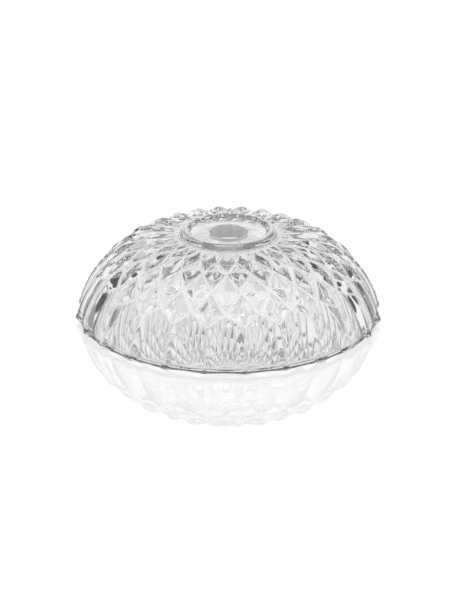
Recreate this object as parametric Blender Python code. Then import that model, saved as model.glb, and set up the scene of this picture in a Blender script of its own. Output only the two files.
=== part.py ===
"""Clear pressed-glass dome for cut flowers: one moulded piece with one round hole through its crown.

Metres, +Z up. The origin is the centre of the rim's flat underside, and the dome stands on that rim.
The mould starts from a smooth domed blank with a flat crown. Two families of V-grooves cross on it and
leave diamonds with small flat tables. A ring of scooped flutes runs from the lowest diamonds down to the
rim, so the rim is a polygon with hollow sides. Grooves and flutes repeat round the axis. A foot ring
stands on the crown, round the flat seat that holds the hole.
"""

import itertools
import math

import bmesh
import bpy

# The blank is turned round +Z: (radius / BLANK_RADIUS)^RADIUS_POWER + (z / BLANK_HEIGHT)^HEIGHT_POWER = 1,
# cut off flat at CROWN_Z.
BLANK_RADIUS = 0.0746
BLANK_HEIGHT = 0.0442
RADIUS_POWER = 3.37
HEIGHT_POWER = 1.36
CROWN_Z = 0.0412

# The hollow is another such surface, with a flat ceiling round the hole.
HOLLOW_RADIUS = 0.0705
HOLLOW_RADIUS_POWER = 4.0
CEILING_Z = 0.0354
CEILING_RADIUS = 0.0200
HOLLOW_ROWS = 9

# Pattern. Grooves cross on rings, called levels here, at every second half step round the axis, and the
# crossings shift by one half step from each level to the next. The flutes' ridges start at the last level.
REPEATS = 24
HALF_STEP = math.pi / REPEATS
FIRST_LEVEL = -1
LEVEL_RADII = (0.0276, 0.0334, 0.0436, 0.0533, 0.0618, 0.0660)
FLUTE_LEVEL = FIRST_LEVEL + len(LEVEL_RADII) - 1
CUT_DEPTH = 0.0018
CELL_CUTS = 3  # the side of a diamond is split at the corners of its table
TABLE = 1 / CELL_CUTS
SEGMENTS = REPEATS * CELL_CUTS
SEGMENT = 2 / CELL_CUTS  # half steps that one segment spans

# Rim
FLUTE_ROWS_Z = (0.0162, 0.0120, 0.0080, 0.0045)
LIP_HEIGHT = 0.0022
LIP_PROUD = 0.0004
RIM_CHAMFER = 0.0003

# Crown: the foot ring, the flat seat inside it and the hole
FOOT_BASE_RADIUS = 0.0232
FOOT_LAND_OUTER = 0.0214
FOOT_LAND_INNER = 0.0198
FOOT_TOP_Z = 0.0437
FOOT_SHOULDER = 0.0004
SEAT_RADIUS = 0.0184
SEAT_Z = 0.0422
HOLE_RADIUS = 0.0092
HOLE_CHAMFER = 0.0004

SMOOTH_BELOW_DEGREES = 17.0
GLASS_COLOUR = (0.93, 0.95, 0.95, 1.0)
GLASS_ROUGHNESS = 0.02
GLASS_INDEX = 1.52


def clear_scene():
    for obj in list(bpy.data.objects):
        bpy.data.objects.remove(obj, do_unlink=True)


def height_on_blank(radius):
    share = 1 - (radius / BLANK_RADIUS) ** RADIUS_POWER
    return min(BLANK_HEIGHT * share ** (1 / HEIGHT_POWER), CROWN_Z)


def radius_on_blank(z):
    share = 1 - (z / BLANK_HEIGHT) ** HEIGHT_POWER
    return BLANK_RADIUS * share ** (1 / RADIUS_POWER)


def turned(half_steps, radius, z):
    """The point at a radius and height, this many half steps round from -Y."""
    angle = half_steps * HALF_STEP
    return (radius * math.sin(angle), -radius * math.cos(angle), z)


def cut_point(half_steps, radius, z, depth):
    """The point this deep below the blank's surface at a radius and height."""
    slope_r = RADIUS_POWER * (radius / BLANK_RADIUS) ** (RADIUS_POWER - 1) / BLANK_RADIUS
    slope_z = HEIGHT_POWER * (z / BLANK_HEIGHT) ** (HEIGHT_POWER - 1) / BLANK_HEIGHT
    share = depth / math.hypot(slope_r, slope_z)
    return turned(half_steps, radius - share * slope_r, z - share * slope_z)


def level_radius(level):
    """Radius on the blank at a level, or between two levels."""
    place = level - FIRST_LEVEL
    below = min(int(place), len(LEVEL_RADII) - 2)
    share = place - below
    return LEVEL_RADII[below] * (1 - share) + LEVEL_RADII[below + 1] * share


def groove_depth(level):
    """Depth of a groove where it passes a level: it runs out at the crown and at the flutes' ridges."""
    run_in = min(1.0, level - FIRST_LEVEL)
    run_out = 1 - max(0.0, level - (FLUTE_LEVEL - 1)) ** 2
    return CUT_DEPTH * run_in * run_out


def diamond_depth(level, a, b):
    """Depth in a diamond centred on a level; a and b run from -1 to 1 between its two pairs of grooves."""
    reach = max(abs(a), abs(b))
    if reach <= TABLE:
        return 0.0
    edge_level = level + (a + b) / (2 * reach)
    return groove_depth(edge_level) * (reach - TABLE) / (1 - TABLE)


def flute_depth(across):
    """Depth of a flute; across runs from -1 to 1 between its two ridges."""
    return CUT_DEPTH * (1 - across**2)


def scoop_depth(_level, a, b):
    """Depth in the pointed top of a flute, with a and b as in a diamond."""
    return flute_depth((a - b) / 2)


def diamond_triangles():
    """The corners of a diamond's triangles, as counts of cuts along its two directions.

    Edges run from each corner of its table to its own corners, and along its middle.
    """
    for p, q in itertools.product(range(CELL_CUTS), repeat=2):
        top, left, bottom, right = (p, q), (p, q + 1), (p + 1, q + 1), (p + 1, q)
        if p + q + 1 == CELL_CUTS:
            yield top, left, right
            yield left, bottom, right
        else:
            yield top, left, bottom
            yield top, bottom, right


def is_above_middle(triangle):
    return sum(p + q for p, q in triangle) < CELL_CUTS * len(triangle)


class Lattice:
    """Makes the patterned skin, with one shared vertex for each place on it."""

    def __init__(self, bm):
        self.bm = bm
        self.made = {}

    def vertex(self, half_steps, level, depth):
        key = (round(level * CELL_CUTS), round(half_steps * CELL_CUTS) % (2 * SEGMENTS))
        if key not in self.made:
            radius = level_radius(level)
            place = cut_point(half_steps, radius, height_on_blank(radius), depth)
            self.made[key] = self.bm.verts.new(place)
        return self.made[key]

    def add_diamond(self, centre, level, depth_at, upper=True, lower=True):
        """One diamond centred on a level, or only its half above or below that level."""

        def corner(p, q):
            a = 2 * p / CELL_CUTS - 1
            b = 2 * q / CELL_CUTS - 1
            return self.vertex(centre + (a - b) / 2, level + (a + b) / 2, depth_at(level, a, b))

        for triangle in diamond_triangles():
            if upper if is_above_middle(triangle) else lower:
                self.bm.faces.new([corner(p, q) for p, q in triangle])

    def ring(self, level):
        """The vertices on a level, in order round the axis, and the half steps to the first."""
        keys = sorted(key for key in self.made if key[0] == level * CELL_CUTS)
        return [self.made[key] for key in keys], keys[0][1] / CELL_CUTS


def add_lattice(bm):
    lattice = Lattice(bm)
    for level in range(FIRST_LEVEL, FLUTE_LEVEL):
        for step in range(REPEATS):
            centre = 2 * step + (level + 1) % 2
            lattice.add_diamond(centre, level, diamond_depth, upper=level > FIRST_LEVEL)
    for step in range(REPEATS):
        centre = 2 * step + (FLUTE_LEVEL + 1) % 2
        lattice.add_diamond(centre, FLUTE_LEVEL, scoop_depth, lower=False)
    return lattice


def add_ring(bm, start, place_of):
    """A ring of vertices; place_of gives each its point from the half steps round from -Y."""
    return [bm.verts.new(place_of(start + SEGMENT * i)) for i in range(SEGMENTS)]


def join_rings(bm, rings):
    for first, second in zip(rings, rings[1:]):
        for i in range(SEGMENTS):
            j = (i + 1) % SEGMENTS
            bm.faces.new((first[i], second[i], second[j], first[j]))


def add_turned_rings(bm, start, profile):
    """A ring for each (radius, z) of a profile."""
    return [add_ring(bm, start, lambda s, p=point: turned(s, *p)) for point in profile]


def add_fluted_rings(bm, start):
    """The fluted wall below the lattice, down to the outer edge of the rim's flat underside."""
    rows = [(z, 0.0) for z in FLUTE_ROWS_Z]
    rows += [
        (LIP_HEIGHT, 0.0),
        (LIP_HEIGHT - LIP_PROUD, LIP_PROUD),
        (RIM_CHAMFER, LIP_PROUD),
        (0.0, LIP_PROUD - RIM_CHAMFER),
    ]

    def place(half_steps, z, proud):
        across = half_steps % 2 - (FLUTE_LEVEL + 1) % 2
        radius = radius_on_blank(z) - flute_depth(across) + proud
        return turned(half_steps, radius, z)

    return [add_ring(bm, start, lambda s, r=row: place(s, *r)) for row in rows]


def crown_profile():
    """(radius, z) over the foot ring and the seat, and down the hole to the ceiling of the hollow."""
    return (
        (FOOT_BASE_RADIUS, CROWN_Z),
        (FOOT_LAND_OUTER + FOOT_SHOULDER, FOOT_TOP_Z - FOOT_SHOULDER),
        (FOOT_LAND_OUTER, FOOT_TOP_Z),
        (FOOT_LAND_INNER, FOOT_TOP_Z),
        (FOOT_LAND_INNER - FOOT_SHOULDER, FOOT_TOP_Z - FOOT_SHOULDER),
        (SEAT_RADIUS, SEAT_Z),
        (HOLE_RADIUS + HOLE_CHAMFER, SEAT_Z),
        (HOLE_RADIUS, SEAT_Z - HOLE_CHAMFER),
        (HOLE_RADIUS, CEILING_Z + HOLE_CHAMFER),
        (HOLE_RADIUS + HOLE_CHAMFER, CEILING_Z),
    )


def hollow_profile():
    """(radius, z) from the edge of the hollow's ceiling to the inner edge of the rim's underside."""
    start = math.asin((CEILING_RADIUS / HOLLOW_RADIUS) ** (HOLLOW_RADIUS_POWER / 2))
    full_height = CEILING_Z / math.cos(start) ** (2 / HEIGHT_POWER)
    points = []
    for row in range(HOLLOW_ROWS):
        turn = start + (math.pi / 2 - start) * row / HOLLOW_ROWS
        radius = HOLLOW_RADIUS * math.sin(turn) ** (2 / HOLLOW_RADIUS_POWER)
        points.append((radius, full_height * math.cos(turn) ** (2 / HEIGHT_POWER)))
    points.append((HOLLOW_RADIUS, RIM_CHAMFER))
    points.append((HOLLOW_RADIUS + RIM_CHAMFER, 0.0))
    return points


def build_mesh():
    bm = bmesh.new()
    lattice = add_lattice(bm)
    crown_edge, crown_start = lattice.ring(FIRST_LEVEL)
    flute_edge, flute_start = lattice.ring(FLUTE_LEVEL)
    turned_rings = add_turned_rings(bm, crown_start, (*crown_profile(), *hollow_profile()))
    fluted_rings = add_fluted_rings(bm, flute_start)
    join_rings(bm, [crown_edge, *turned_rings, *reversed(fluted_rings), flute_edge])
    bmesh.ops.recalc_face_normals(bm, faces=bm.faces)
    mesh = bpy.data.meshes.new("glass_dome")
    bm.to_mesh(mesh)
    bm.free()
    mesh.shade_smooth()
    mesh.set_sharp_from_angle(angle=math.radians(SMOOTH_BELOW_DEGREES))
    return mesh


def clear_glass():
    material = bpy.data.materials.new("clear_glass")
    material.use_nodes = True
    shader = material.node_tree.nodes["Principled BSDF"]
    shader.inputs["Base Color"].default_value = GLASS_COLOUR
    shader.inputs["Roughness"].default_value = GLASS_ROUGHNESS
    shader.inputs["Metallic"].default_value = 0.0
    shader.inputs["IOR"].default_value = GLASS_INDEX
    shader.inputs["Transmission Weight"].default_value = 1.0
    return material


def main():
    clear_scene()
    mesh = build_mesh()
    mesh.materials.append(clear_glass())
    dome = bpy.data.objects.new("glass_dome", mesh)
    bpy.context.scene.collection.objects.link(dome)


main()
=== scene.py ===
"""Looks for the clear pressed-glass dome: a fine mesh of the moulded glass, its material and a white studio.

Metres, +Z up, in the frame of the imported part. Places round the dome are counted in half steps from -Y.
"""

import math

import bmesh
import bpy
import numpy as np
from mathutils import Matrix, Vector


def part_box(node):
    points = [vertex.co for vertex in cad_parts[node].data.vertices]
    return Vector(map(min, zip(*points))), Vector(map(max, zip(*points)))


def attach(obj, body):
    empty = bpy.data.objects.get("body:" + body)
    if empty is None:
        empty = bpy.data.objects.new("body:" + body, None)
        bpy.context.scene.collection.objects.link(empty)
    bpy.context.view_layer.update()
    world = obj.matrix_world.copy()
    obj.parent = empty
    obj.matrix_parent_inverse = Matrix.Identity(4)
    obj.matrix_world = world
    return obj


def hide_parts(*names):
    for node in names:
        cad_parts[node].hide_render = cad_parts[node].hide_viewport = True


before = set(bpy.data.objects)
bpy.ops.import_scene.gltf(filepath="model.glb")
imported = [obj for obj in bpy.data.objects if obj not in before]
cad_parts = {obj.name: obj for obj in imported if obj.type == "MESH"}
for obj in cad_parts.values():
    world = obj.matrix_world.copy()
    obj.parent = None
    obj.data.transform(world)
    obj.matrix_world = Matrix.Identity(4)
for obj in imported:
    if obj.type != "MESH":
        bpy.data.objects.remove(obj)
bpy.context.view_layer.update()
RIM_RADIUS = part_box("glass_dome")[1].x
TOP_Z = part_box("glass_dome")[1].z

# The blank that the pattern is cut into: a superellipse turned round +Z, flattened at the crown.
BLANK_RADIUS = RIM_RADIUS - 0.0004
BLANK_HEIGHT = 0.0442
RADIUS_POWER = 3.37
HEIGHT_POWER = 1.36
CROWN_Z = TOP_Z - 0.0025
CROWN_BLEND = 0.0008

# Pattern: grooves cross at every second half step on rings called levels, shifted by one half step from
# each level to the next. The flutes' ridges start at the last level.
REPEATS = 24
HALF_STEP = math.pi / REPEATS
FIRST_LEVEL = -1
LEVEL_RADII = (0.0246, 0.0334, 0.0436, 0.0533, 0.0618, 0.0660)
FLUTE_LEVEL = FIRST_LEVEL + len(LEVEL_RADII) - 1
CUT_DEPTH = 0.0018
TABLE = 0.30
GROOVE_START = -0.72
GROOVE_RUN_IN = 1.1
GROOVE_FILLET = 0.08  # share of a diamond
MITRE_FILLET = 0.08
TABLE_FILLET = 0.00016
RIDGE_FILLET = 0.10

# Mesh: steps across a diamond crowd together by sine waves (turns across the diamond, size), and an
# attribute marks the pattern's lines for the painted highlight in the glass material.
CELL_CUTS = 16
CROWDING = ((1.5, 0.035), (0.5, 0.05))
FLUTE_ROWS = 26
HOLLOW_ROWS = 44
CORNER_ROWS = 5
CREASE = "crease"

# Rim: the lip swells out of the flutes between two shares of its height
LIP_HEIGHT = 0.0022
LIP_START = 1.3
LIP_FULL = 0.7
LIP_PROUD = 0.0004
RIM_ROUND = 0.0005

# Hollow: a thin shell with a flat ceiling round the hole
HOLLOW_RADIUS = 0.0705
CEILING_Z = 0.0354
CEILING_RADIUS = 0.0200
HOLLOW_RADIUS_POWER = 4.0
HOLLOW_HEIGHT_POWER = 1.36

# Crown
PATTERN_GAP = 0.00005
FOOT_BASE_RADIUS = 0.0236
FOOT_OUTER = 0.0213
FOOT_INNER = 0.0198
FOOT_ROUND = 0.0007
FOOT_BASE_FILLET = 0.0009
SEAT_RADIUS = 0.0183
SEAT_FILLET = 0.0006
SEAT_Z = 0.0422
HOLE_RADIUS = 0.0092
HOLE_ROUND = 0.0006

# Glass: clear and faintly rippled, with a painted highlight of rough white glass on the lines where the
# pattern's faces meet and in the hole
GLASS_IOR = 1.52
GLASS_TINT = (0.90, 0.88, 0.905, 1)
TINT_DENSITY = 42.0
RIPPLE_SCALE = 70.0
RIPPLE_DETAIL = 2.0
RIPPLE_STRENGTH = 0.03
RIPPLE_DEPTH = 0.0004
CREASE_WIDTH = 0.20  # share of a diamond
# share of rough white glass on the lines: painted highlight in place of glints in the groove bottoms
CREASE_PAINTED_HIGHLIGHT = 0.48
# crease value on the hole's wall and edges, which gives them part of the painted highlight
BORE_PAINTED_HIGHLIGHT = 0.93

# Studio floor: its own light and its mirror share, as the camera sees it and as light inside the glass does.
# It lies a little below the rim.
FLOOR_Z = -0.0018
FLOOR_REACH = 4.0
FLOOR_TONE = 1.02
FLOOR_TONE_INSIDE = 0.85
FLOOR_GLOSS = 0.25
FLOOR_GLOSS_INSIDE = 0.70

# Studio room: one tone with round patches laid over it in this order. A patch is its azimuth, elevation,
# inner and outer half-width in degrees, and tone. Azimuth 0 is -Y.
ROOM_TONE = 0.96
BACKDROP_TONE = 1.12
ROOM_PATCHES = (
    (0, 90, 60, 78, 0.90),  # ceiling
    (180, 24, 9, 14, 0.62),  # dimmer middle of the back wall
    (0, 74, 18, 24, 2.2),  # softbox
    (180, 66, 12, 16, 0.40),  # grey flag over the back wall
    (0, 15, 40, 60, 0.16),  # dark side of the camera
)
PAIRED_FLAGS = (
    (140, 10, 10, 14, 0.03),
    (115, 14, 6, 9, 0.03),
    (60, 14, 7, 10, 0.03),
    (85, 30, 6, 9, 0.03),
    (155, 34, 5, 8, 0.05),
)
LAMP_AZIMUTHS = (-12, 0, 12)
LAMP = (58, 2, 3, 14.0)
SWEEP = (0, -90, 124, 132, 1.1)  # only for light that has not come through the glass

# Camera
CAMERA_AZIMUTH = math.radians(-6.3)
CAMERA_ELEVATION = math.radians(23.17)
CAMERA_DISTANCE = 1.2105
CAMERA_LENS = 149.07
CAMERA_SENSOR = 36.0
CAMERA_SHIFT = (0.0025, 0.0227)
CAMERA_CLIP = 0.05

# Light paths: clear glass in front of more glass needs many
GLASS_BOUNCES = 24
GLOSSY_BOUNCES = 8
BRIGHTEST_BOUNCE = 4.0


# ---------------------------------------------------------------- shape


def level_radius(level):
    """Radius on the blank at a level: a smooth curve down to the last crossings, then straight."""
    *curved, end = LEVEL_RADII
    levels = np.arange(len(curved)) + FIRST_LEVEL
    curve = np.polyfit(levels, curved, len(curved) - 1)
    beyond = np.maximum(level - levels[-1], 0)
    return np.polyval(curve, np.minimum(level, levels[-1])) + beyond * (end - curved[-1])


def blank_height(radius):
    """Height of the blank's surface, with the flat crown blended in."""
    share = np.maximum(1 - (radius / BLANK_RADIUS) ** RADIUS_POWER, 0)
    dome = BLANK_HEIGHT * share ** (1 / HEIGHT_POWER)
    return -smooth_max(-dome, -CROWN_Z, CROWN_BLEND)


def blank_radius(z):
    share = 1 - (z / BLANK_HEIGHT) ** HEIGHT_POWER
    return BLANK_RADIUS * share ** (1 / RADIUS_POWER)


def smooth_max(a, b, fillet):
    """The larger of two values, with their crossing rounded off."""
    return (a + b + np.sqrt((a - b) ** 2 + fillet**2)) / 2


def outward(radius, z):
    """Radius and height parts of the blank's outward normal, from its slopes."""
    reach = 1e-5
    slope = (blank_height(radius + reach) - blank_height(radius - reach)) / (2 * reach)
    length = np.hypot(slope, 1)
    return -slope / length, 1 / length


def scoop(across):
    """Depth of a flute; across runs from -1 to 1 between its ridges, which are slightly rounded."""
    bowl = np.sqrt((1 - across**2) ** 2 + RIDGE_FILLET**2) - RIDGE_FILLET
    return CUT_DEPTH * bowl / (math.hypot(1, RIDGE_FILLET) - RIDGE_FILLET)


def groove_line_depth(level):
    """Depth along the bottom of a groove: it runs out at the crown, and along the arch of a flute."""
    rise = np.clip((level - GROOVE_START) / GROOVE_RUN_IN, 0, 1)
    fall = np.clip(level - (FLUTE_LEVEL - 1), 0, 1)
    return rise * (2 - rise) * scoop(fall)


def cut_depth(level, a, b):
    """Depth in a diamond centred on a level; a and b run from -1 to 1 between its two pairs of grooves."""
    depth = None
    for here, along in ((a, b), (b, a)):
        side = np.where(here < 0, -1, 1)
        line = groove_line_depth(level + (side + along) / 2)
        away = np.sqrt((1 - np.abs(here)) ** 2 + GROOVE_FILLET**2) - GROOVE_FILLET
        cut = line - CUT_DEPTH * away / (1 - TABLE)
        depth = cut if depth is None else smooth_max(depth, cut, CUT_DEPTH * MITRE_FILLET)
    return smooth_max(depth, 0, TABLE_FILLET)


def turned(half_steps, radius, z):
    """Points at a radius and height, this many half steps round from -Y."""
    angle = half_steps * HALF_STEP
    x, y, z = np.broadcast_arrays(radius * np.sin(angle), -radius * np.cos(angle), z)
    return np.stack([x, y, z], axis=-1)


def below_blank(half_steps, radius, z, depth):
    """Points this deep below the blank's surface at a radius and height."""
    normal_r, normal_z = outward(radius, z)
    return turned(half_steps, radius - depth * normal_r, z - depth * normal_z)


# ---------------------------------------------------------------- mesh


class Shell:
    """Collects points and faces of the one closed glass surface."""

    def __init__(self):
        self.points = []
        self.creases = []
        self.faces = []
        self.count = 0

    def add_points(self, points, crease=0.0):
        """Adds points and returns their numbers; crease is 1 on the pattern's lines and less beside them."""
        self.points.append(points)
        self.creases.append(np.broadcast_to(crease, len(points)))
        self.count += len(points)
        return np.arange(self.count - len(points), self.count)

    def join(self, rings):
        """Adds a band of faces between each ring of points and the next."""
        for upper, lower in zip(rings, rings[1:]):
            quads = np.stack([upper, lower, np.roll(lower, -1), np.roll(upper, -1)], axis=1)
            self.faces += quads.tolist()

    def to_mesh(self, name):
        mesh = bpy.data.meshes.new(name)
        mesh.from_pydata(np.concatenate(self.points).tolist(), [], self.faces)
        bm = bmesh.new()
        bm.from_mesh(mesh)
        bmesh.ops.recalc_face_normals(bm, faces=bm.faces)
        bm.to_mesh(mesh)
        bm.free()
        crease = mesh.attributes.new(CREASE, "FLOAT", "POINT")
        crease.data.foreach_set("value", np.concatenate(self.creases))
        mesh.shade_smooth()
        return mesh


def cell_steps():
    """Places across a diamond from -1 to 1, closer together at the grooves and at the table's edges."""
    even = np.linspace(-1, 1, CELL_CUTS + 1)
    return even + sum(size * np.sin(even * math.tau * turns) for turns, size in CROWDING)


def diamond_faces(upper, lower):
    """Corner places (i, j) of the faces of a diamond, or of its half above or below its middle."""
    faces = []
    for i in range(CELL_CUTS):
        for j in range(CELL_CUTS):
            row = i + j + 1 - CELL_CUTS
            top, left, bottom, right = (i, j), (i, j + 1), (i + 1, j + 1), (i + 1, j)
            if row and (upper if row < 0 else lower):
                faces.append((top, left, bottom, right))
            elif row == 0:
                faces += [(top, left, right)] * upper + [(left, bottom, right)] * lower
    return faces


def add_pattern(shell):
    """The diamonds and the flutes' pointed tops. Returns the rings at the first and last level."""
    steps = cell_steps()
    a, b = (grid.ravel() for grid in np.meshgrid(steps, steps, indexing="ij"))
    i, j = (grid.ravel() for grid in np.indices((CELL_CUTS + 1, CELL_CUTS + 1)))
    crease = np.maximum(np.abs(a), np.abs(b))
    keys, places, faces = [], [], []
    for level in range(FIRST_LEVEL, FLUTE_LEVEL + 1):
        upper, lower = level > FIRST_LEVEL, level < FLUTE_LEVEL
        corners = [[p * (CELL_CUTS + 1) + q for p, q in face] for face in diamond_faces(upper, lower)]
        depth = cut_depth(level, a, b) if lower else scoop((a - b) / 2)
        row = i + j + CELL_CUTS * (level - 1)
        for step in range(REPEATS):
            centre = 2 * step + (level + 1) % 2
            column = (i - j + CELL_CUTS * centre) % (2 * REPEATS * CELL_CUTS)
            offset = len(a) * len(keys)
            keys.append(np.stack([row, column], axis=1))
            places.append(np.stack([centre + (a - b) / 2, level + (a + b) / 2, depth, crease], axis=1))
            faces += [[offset + c for c in face] for face in corners]
    keys, places = np.concatenate(keys), np.concatenate(places)
    used = np.unique([c for face in faces for c in face])
    kept, first, index = np.unique(keys[used], axis=0, return_index=True, return_inverse=True)
    shared = np.full(len(keys), -1)
    shared[used] = index.ravel()
    half_steps, levels, depths, creases = places[used][first].T
    radius = level_radius(levels)
    ids = shell.add_points(below_blank(half_steps, radius, blank_height(radius), depths), creases)
    shell.faces += [[int(ids[shared[c]]) for c in face] for face in faces]
    rings = []
    for end_level in (FIRST_LEVEL, FLUTE_LEVEL):
        on_ring = np.flatnonzero(kept[:, 0] == end_level * CELL_CUTS)
        on_ring = on_ring[np.argsort(kept[on_ring, 1])]
        rings.append((ids[on_ring], half_steps[on_ring] % (2 * REPEATS)))
    return rings


def rounded(corners):
    """Points along a line through corners (radius, z, rounding), with each inner corner rounded."""
    points = [corners[0][:2]]
    for before, corner, after in zip(corners, corners[1:], corners[2:]):
        here = np.array(corner[:2])
        sides = []
        for other in (before, after):
            side = np.array(other[:2]) - here
            sides.append(side / np.linalg.norm(side))
        start, end = (here + side * corner[2] for side in sides)
        for t in np.linspace(0, 1, CORNER_ROWS + 1):
            points.append(tuple((1 - t) ** 2 * start + 2 * t * (1 - t) * here + t**2 * end))
    points.append(corners[-1][:2])
    return points


def crown_profile():
    """(radius, z) from the foot ring's base over the ring and the seat, and through the hole."""
    return rounded(
        [
            (LEVEL_RADII[0] - PATTERN_GAP, CROWN_Z, 0),
            (FOOT_BASE_RADIUS, CROWN_Z, FOOT_BASE_FILLET),
            (FOOT_OUTER, TOP_Z, FOOT_ROUND),
            (FOOT_INNER, TOP_Z, FOOT_ROUND),
            (SEAT_RADIUS, SEAT_Z, SEAT_FILLET),
            (HOLE_RADIUS, SEAT_Z, HOLE_ROUND),
            (HOLE_RADIUS, CEILING_Z, HOLE_ROUND),
            (CEILING_RADIUS, CEILING_Z, 0),
        ]
    )


def hollow_profile():
    """(radius, z) from the ceiling down the inside of the wall and round the rim."""
    start = math.asin((CEILING_RADIUS / HOLLOW_RADIUS) ** (HOLLOW_RADIUS_POWER / 2))
    points = []
    for turn in np.linspace(start, math.pi / 2, HOLLOW_ROWS)[1:-1]:
        radius = HOLLOW_RADIUS * math.sin(turn) ** (2 / HOLLOW_RADIUS_POWER)
        z = CEILING_Z * math.cos(turn) ** (2 / HOLLOW_HEIGHT_POWER)
        points.append((radius, z))
    rim = [(*points[-1], 0), (HOLLOW_RADIUS, 0.0, RIM_ROUND), (HOLLOW_RADIUS + 2 * RIM_ROUND, 0.0, 0)]
    return points + rounded(rim)[1:]


def flute_rows():
    """(z, proud) of each row down a flute and round the lip to the rim's underside."""
    start = float(blank_height(level_radius(FLUTE_LEVEL)))
    rows = [(z, 0.0) for z in np.linspace(start, LIP_START * LIP_HEIGHT, FLUTE_ROWS)[1:]]
    for t in np.linspace(0, 1, 2 * CORNER_ROWS + 1)[1:]:
        z = LIP_HEIGHT * (LIP_START + (LIP_FULL - LIP_START) * t)
        rows.append((z, LIP_PROUD * t * t * (3 - 2 * t)))
    for turn in np.linspace(0, math.pi / 2, CORNER_ROWS + 1):
        proud = LIP_PROUD - RIM_ROUND * (1 - math.cos(turn))
        rows.append((RIM_ROUND * (1 - math.sin(turn)), proud))
    return rows


def add_flutes(shell, top, half_steps):
    """The rings of the fluted wall, from the pattern's last ring down to the rim's underside."""
    across = half_steps % 2 - (FLUTE_LEVEL + 1) % 2
    rings = [top]
    for z, proud in flute_rows():
        radius = blank_radius(z)
        points = below_blank(half_steps, radius, z, scoop(across) - proud)
        points[:, 2] = np.maximum(points[:, 2], 0)
        rings.append(shell.add_points(points))
    return rings


def build_glass():
    shell = Shell()
    (crown_edge, crown_steps), (flute_edge, flute_steps) = add_pattern(shell)
    rings = [crown_edge]
    for radius, z in crown_profile() + hollow_profile():
        # the hole's wall and rounded edges take part of the painted highlight of the lines
        crease = BORE_PAINTED_HIGHLIGHT if radius < HOLE_RADIUS + HOLE_ROUND / 2 else 0.0
        rings.append(shell.add_points(turned(crown_steps, radius, z), crease))
    flutes = add_flutes(shell, flute_edge, flute_steps)
    shell.join(rings + flutes[::-1])
    return shell.to_mesh("pressed_glass")


# ---------------------------------------------------------------- materials


def glass_material():
    """Clear glass; along creases part of it turns rough and white, a painted highlight on the pattern's
    lines and in the hole.
    """
    material = bpy.data.materials.new("clear_pressed_glass")
    material.use_nodes = True
    nodes, links = material.node_tree.nodes, material.node_tree.links
    shader = nodes["Principled BSDF"]
    shader.inputs["Base Color"].default_value = (1, 1, 1, 1)
    shader.inputs["IOR"].default_value = GLASS_IOR
    noise = nodes.new("ShaderNodeTexNoise")
    noise.inputs["Scale"].default_value = RIPPLE_SCALE
    noise.inputs["Detail"].default_value = RIPPLE_DETAIL
    place = nodes.new("ShaderNodeTexCoord")
    bump = nodes.new("ShaderNodeBump")
    bump.inputs["Strength"].default_value = RIPPLE_STRENGTH
    bump.inputs["Distance"].default_value = RIPPLE_DEPTH
    links.new(place.outputs["Object"], noise.inputs["Vector"])
    links.new(noise.outputs["Fac"], bump.inputs["Height"])
    links.new(bump.outputs["Normal"], shader.inputs["Normal"])
    crease = nodes.new("ShaderNodeAttribute")
    crease.attribute_name = CREASE
    # painted highlight: the lines turn partly into rough white glass in place of glints in the groove
    # bottoms
    painted_highlight = nodes.new("ShaderNodeMapRange")
    painted_highlight.interpolation_type = "SMOOTHSTEP"
    painted_highlight.inputs["From Min"].default_value = 1 - CREASE_WIDTH
    painted_highlight.inputs["To Max"].default_value = CREASE_PAINTED_HIGHLIGHT
    links.new(crease.outputs["Fac"], painted_highlight.inputs["Value"])
    clear = nodes.new("ShaderNodeMath")
    clear.operation = "SUBTRACT"
    clear.inputs[0].default_value = 1.0
    links.new(painted_highlight.outputs["Result"], clear.inputs[1])
    links.new(clear.outputs["Value"], shader.inputs["Transmission Weight"])
    links.new(painted_highlight.outputs["Result"], shader.inputs["Roughness"])
    volume = nodes.new("ShaderNodeVolumeAbsorption")
    volume.inputs["Color"].default_value = GLASS_TINT
    volume.inputs["Density"].default_value = TINT_DENSITY
    links.new(volume.outputs["Volume"], nodes["Material Output"].inputs["Volume"])
    return material


def floor_material():
    """A lit white sheet with a clear gloss, which mirrors more for light that comes through the glass."""
    material = bpy.data.materials.new("white_acrylic")
    material.use_nodes = True
    nodes, links = material.node_tree.nodes, material.node_tree.links
    nodes.remove(nodes["Principled BSDF"])
    seen = nodes.new("ShaderNodeLightPath")
    share = nodes.new("ShaderNodeMapRange")
    share.inputs["To Min"].default_value = FLOOR_GLOSS_INSIDE
    share.inputs["To Max"].default_value = FLOOR_GLOSS
    links.new(seen.outputs["Is Camera Ray"], share.inputs["Value"])
    tone = nodes.new("ShaderNodeMapRange")
    tone.inputs["To Min"].default_value = FLOOR_TONE_INSIDE
    tone.inputs["To Max"].default_value = FLOOR_TONE
    links.new(seen.outputs["Is Camera Ray"], tone.inputs["Value"])
    white = nodes.new("ShaderNodeEmission")
    links.new(tone.outputs["Result"], white.inputs["Strength"])
    gloss = nodes.new("ShaderNodeBsdfGlossy")
    gloss.inputs["Roughness"].default_value = 0.0
    gloss.inputs["Color"].default_value = (1, 1, 1, 1)
    mix = nodes.new("ShaderNodeMixShader")
    links.new(share.outputs["Result"], mix.inputs["Fac"])
    links.new(white.outputs["Emission"], mix.inputs[1])
    links.new(gloss.outputs["BSDF"], mix.inputs[2])
    links.new(mix.outputs["Shader"], nodes["Material Output"].inputs["Surface"])
    return material


# ---------------------------------------------------------------- studio


def add_floor():
    mesh = bpy.data.meshes.new("studio_floor")
    corners = ((-1, -1), (1, -1), (1, 1), (-1, 1))
    points = [(x * FLOOR_REACH, y * FLOOR_REACH, FLOOR_Z) for x, y in corners]
    mesh.from_pydata(points, [], [(0, 1, 2, 3)])
    mesh.materials.append(floor_material())
    floor = bpy.data.objects.new("studio_floor", mesh)
    bpy.context.scene.collection.objects.link(floor)


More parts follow.
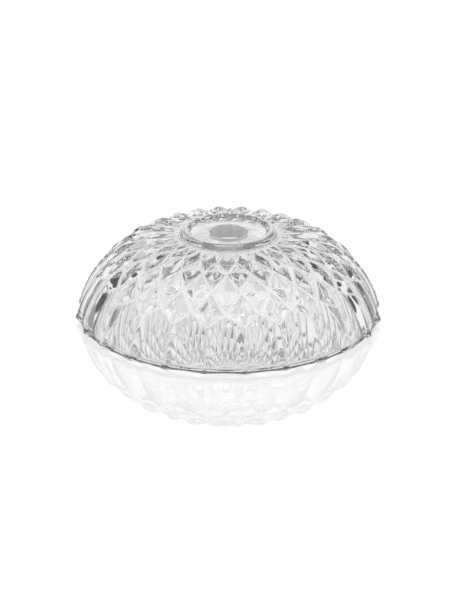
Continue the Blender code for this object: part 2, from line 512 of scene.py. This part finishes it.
def direction(azimuth, elevation):
    """Unit vector towards a place in the studio, in degrees; azimuth 0 is -Y and 90 is +X."""
    turn, lift = math.radians(azimuth), math.radians(elevation)
    return Vector((math.sin(turn) * math.cos(lift), -math.cos(turn) * math.cos(lift), math.sin(lift)))


def patch_share(nodes, links, place, azimuth, elevation, inner, outer):
    """How far a direction lies inside a round patch of the studio, from 0 to 1."""
    dot = nodes.new("ShaderNodeVectorMath")
    dot.operation = "DOT_PRODUCT"
    dot.inputs[1].default_value = direction(azimuth, elevation)
    links.new(place.outputs["Generated"], dot.inputs[0])
    share = nodes.new("ShaderNodeMapRange")
    share.interpolation_type = "SMOOTHSTEP"
    share.inputs["From Min"].default_value = math.cos(math.radians(outer))
    share.inputs["From Max"].default_value = math.cos(math.radians(inner))
    links.new(dot.outputs["Value"], share.inputs["Value"])
    return share.outputs["Result"]


def mix_tone(nodes, links, light, share, tone):
    """Lays a tone over the light so far, or over the bare room when there is none yet."""
    mix = nodes.new("ShaderNodeMix")
    mix.inputs["A"].default_value = ROOM_TONE
    mix.inputs["B"].default_value = tone
    if light is not None:
        links.new(light, mix.inputs["A"])
    links.new(share, mix.inputs["Factor"])
    return mix.outputs["Result"]


def room_patches():
    """Every patch of the room, in the order in which they are laid."""
    yield from ROOM_PATCHES
    for azimuth, *rest in PAIRED_FLAGS:
        yield (-azimuth, *rest)
        yield (azimuth, *rest)
    for azimuth in LAMP_AZIMUTHS:
        yield (azimuth, *LAMP)


def add_world():
    """A room of one tone with round patches of other tones. Light that has not come through the glass
    sees a white sweep in place of the lower patches, and the camera sees a plain backdrop."""
    world = bpy.data.worlds.new("white_studio")
    bpy.context.scene.world = world
    world.use_nodes = True
    nodes, links = world.node_tree.nodes, world.node_tree.links
    place = nodes.new("ShaderNodeTexCoord")
    light = None
    for *where, tone in room_patches():
        light = mix_tone(nodes, links, light, patch_share(nodes, links, place, *where), tone)
    seen = nodes.new("ShaderNodeLightPath")
    outside = nodes.new("ShaderNodeMath")
    outside.operation = "LESS_THAN"
    outside.inputs[1].default_value = 0.5
    links.new(seen.outputs["Transmission Depth"], outside.inputs[0])
    sweep = nodes.new("ShaderNodeMath")
    sweep.operation = "MULTIPLY"
    *where, tone = SWEEP
    links.new(patch_share(nodes, links, place, *where), sweep.inputs[0])
    links.new(outside.outputs["Value"], sweep.inputs[1])
    light = mix_tone(nodes, links, light, sweep.outputs["Value"], tone)
    light = mix_tone(nodes, links, light, seen.outputs["Is Camera Ray"], BACKDROP_TONE)
    nodes["Background"].inputs["Color"].default_value = (1, 1, 1, 1)
    links.new(light, nodes["Background"].inputs["Strength"])


def add_camera():
    data = bpy.data.cameras.new("camera")
    data.lens = CAMERA_LENS
    data.sensor_width = CAMERA_SENSOR
    data.shift_x, data.shift_y = CAMERA_SHIFT
    data.clip_start = CAMERA_CLIP
    camera = bpy.data.objects.new("camera", data)
    flat = CAMERA_DISTANCE * math.cos(CAMERA_ELEVATION)
    camera.location = (
        flat * math.sin(CAMERA_AZIMUTH),
        -flat * math.cos(CAMERA_AZIMUTH),
        CAMERA_DISTANCE * math.sin(CAMERA_ELEVATION),
    )
    camera.rotation_euler = (-camera.location).to_track_quat("-Z", "Y").to_euler()
    bpy.context.scene.collection.objects.link(camera)
    bpy.context.scene.camera = camera


def set_light_paths():
    scene = bpy.context.scene
    scene.view_settings.view_transform = "Standard"
    scene.cycles.max_bounces = GLASS_BOUNCES
    scene.cycles.transmission_bounces = GLASS_BOUNCES
    scene.cycles.glossy_bounces = GLOSSY_BOUNCES
    scene.cycles.sample_clamp_indirect = BRIGHTEST_BOUNCE


def main():
    glass = build_glass()
    glass.materials.append(glass_material())
    dome = bpy.data.objects.new("pressed_glass_dome", glass)
    bpy.context.scene.collection.objects.link(dome)
    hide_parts("glass_dome")
    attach(dome, "root")
    add_floor()
    add_world()
    add_camera()
    set_light_paths()


main()
